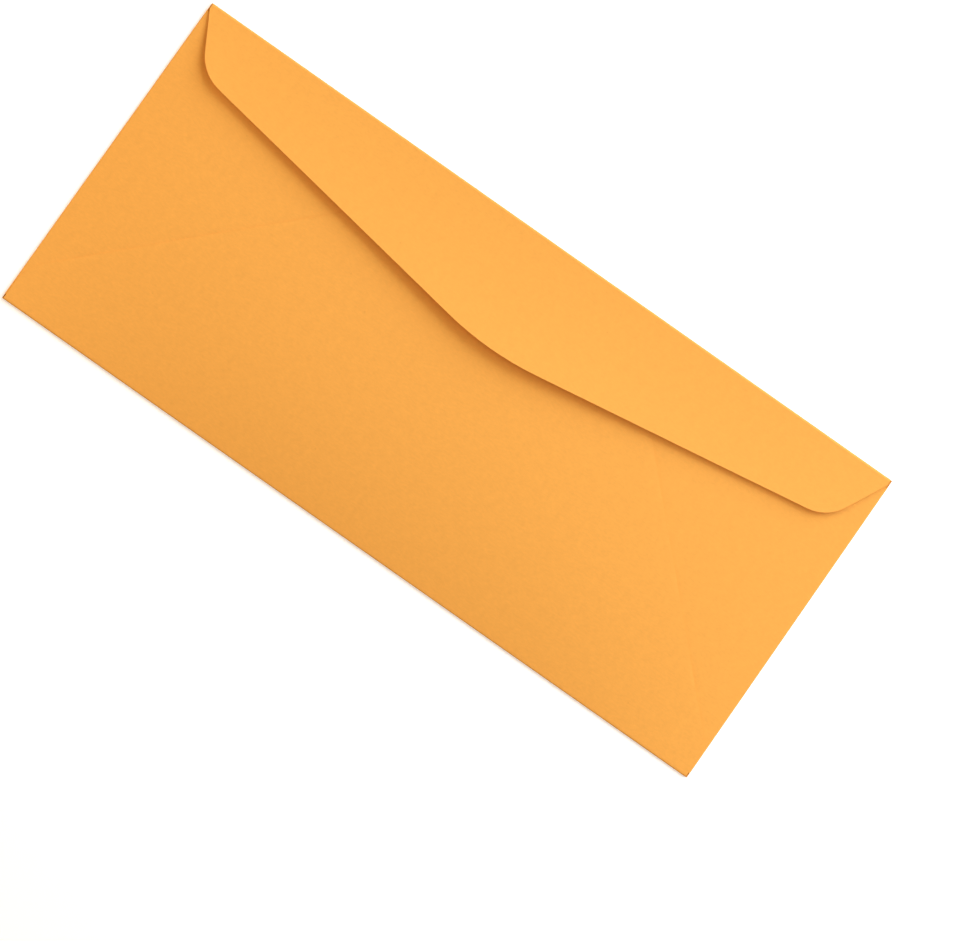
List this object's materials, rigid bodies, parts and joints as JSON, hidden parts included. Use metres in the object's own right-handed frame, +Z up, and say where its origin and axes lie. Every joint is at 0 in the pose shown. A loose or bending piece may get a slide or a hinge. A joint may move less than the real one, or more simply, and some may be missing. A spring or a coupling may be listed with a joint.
{
  "type": "paper envelope",
  "caption": "Business envelope folded and glued from one sheet of golden kraft paper, with slanted back seams and a pointed closing flap that stands slightly open.",
  "frame": {"origin": "on the surface that the envelope lies on, under the middle of its front panel", "axes": "+X along the length, +Y from the bottom fold to the fold of the closing flap, +Z up out of the back, on which the closing flap lies"},
  "size_m": [0.2414, 0.1048, 0.0063],
  "materials": {
    "kraft_paper": "matte, uncoated golden kraft paper with fine fibres"
  },
  "bodies": {
    "root": {"envelope": "kraft_paper"}
  },
  "joints": []
}
